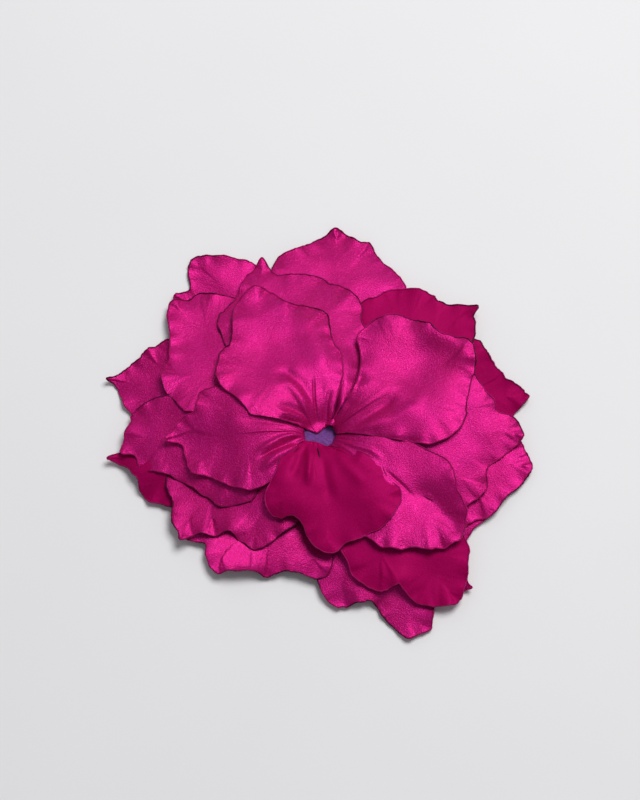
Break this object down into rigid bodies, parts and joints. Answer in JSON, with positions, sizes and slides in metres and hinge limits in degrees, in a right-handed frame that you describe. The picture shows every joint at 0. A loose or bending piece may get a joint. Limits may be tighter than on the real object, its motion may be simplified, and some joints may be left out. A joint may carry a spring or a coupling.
{
  "type": "satin fabric flower",
  "caption": "Layered fabric flower with waved satin petals gathered round a small felt centre, flat at the back.",
  "frame": {"origin": "centre of the felt base's flat back face, which lies on the surface", "axes": "+Z out of the flower's face, +Y to the top of the flower as pictured, +X to its right"},
  "size_m": [0.111, 0.1125, 0.0099],
  "materials": {
    "petal_satin": "magenta satin",
    "felt": "matte violet felt",
    "thread": "dark sewing thread"
  },
  "bodies": {
    "root": {"felt_base": "felt", "gathering_thread": "thread", "outer_upper_left": "petal_satin", "outer_upper_right": "petal_satin", "outer_lower_right": "petal_satin", "outer_left": "petal_satin", "outer_top": "petal_satin", "outer_right": "petal_satin", "outer_lower_left": "petal_satin", "outer_left_low": "petal_satin", "middle_lower_left": "petal_satin", "middle_left": "petal_satin", "middle_upper_left": "petal_satin", "middle_upper_right": "petal_satin", "middle_right": "petal_satin", "middle_lower_right": "petal_satin", "middle_top": "petal_satin", "inner_lower_right": "petal_satin", "inner_left": "petal_satin", "inner_bottom": "petal_satin", "inner_upper_left": "petal_satin", "inner_right": "petal_satin"}
  },
  "joints": []
}
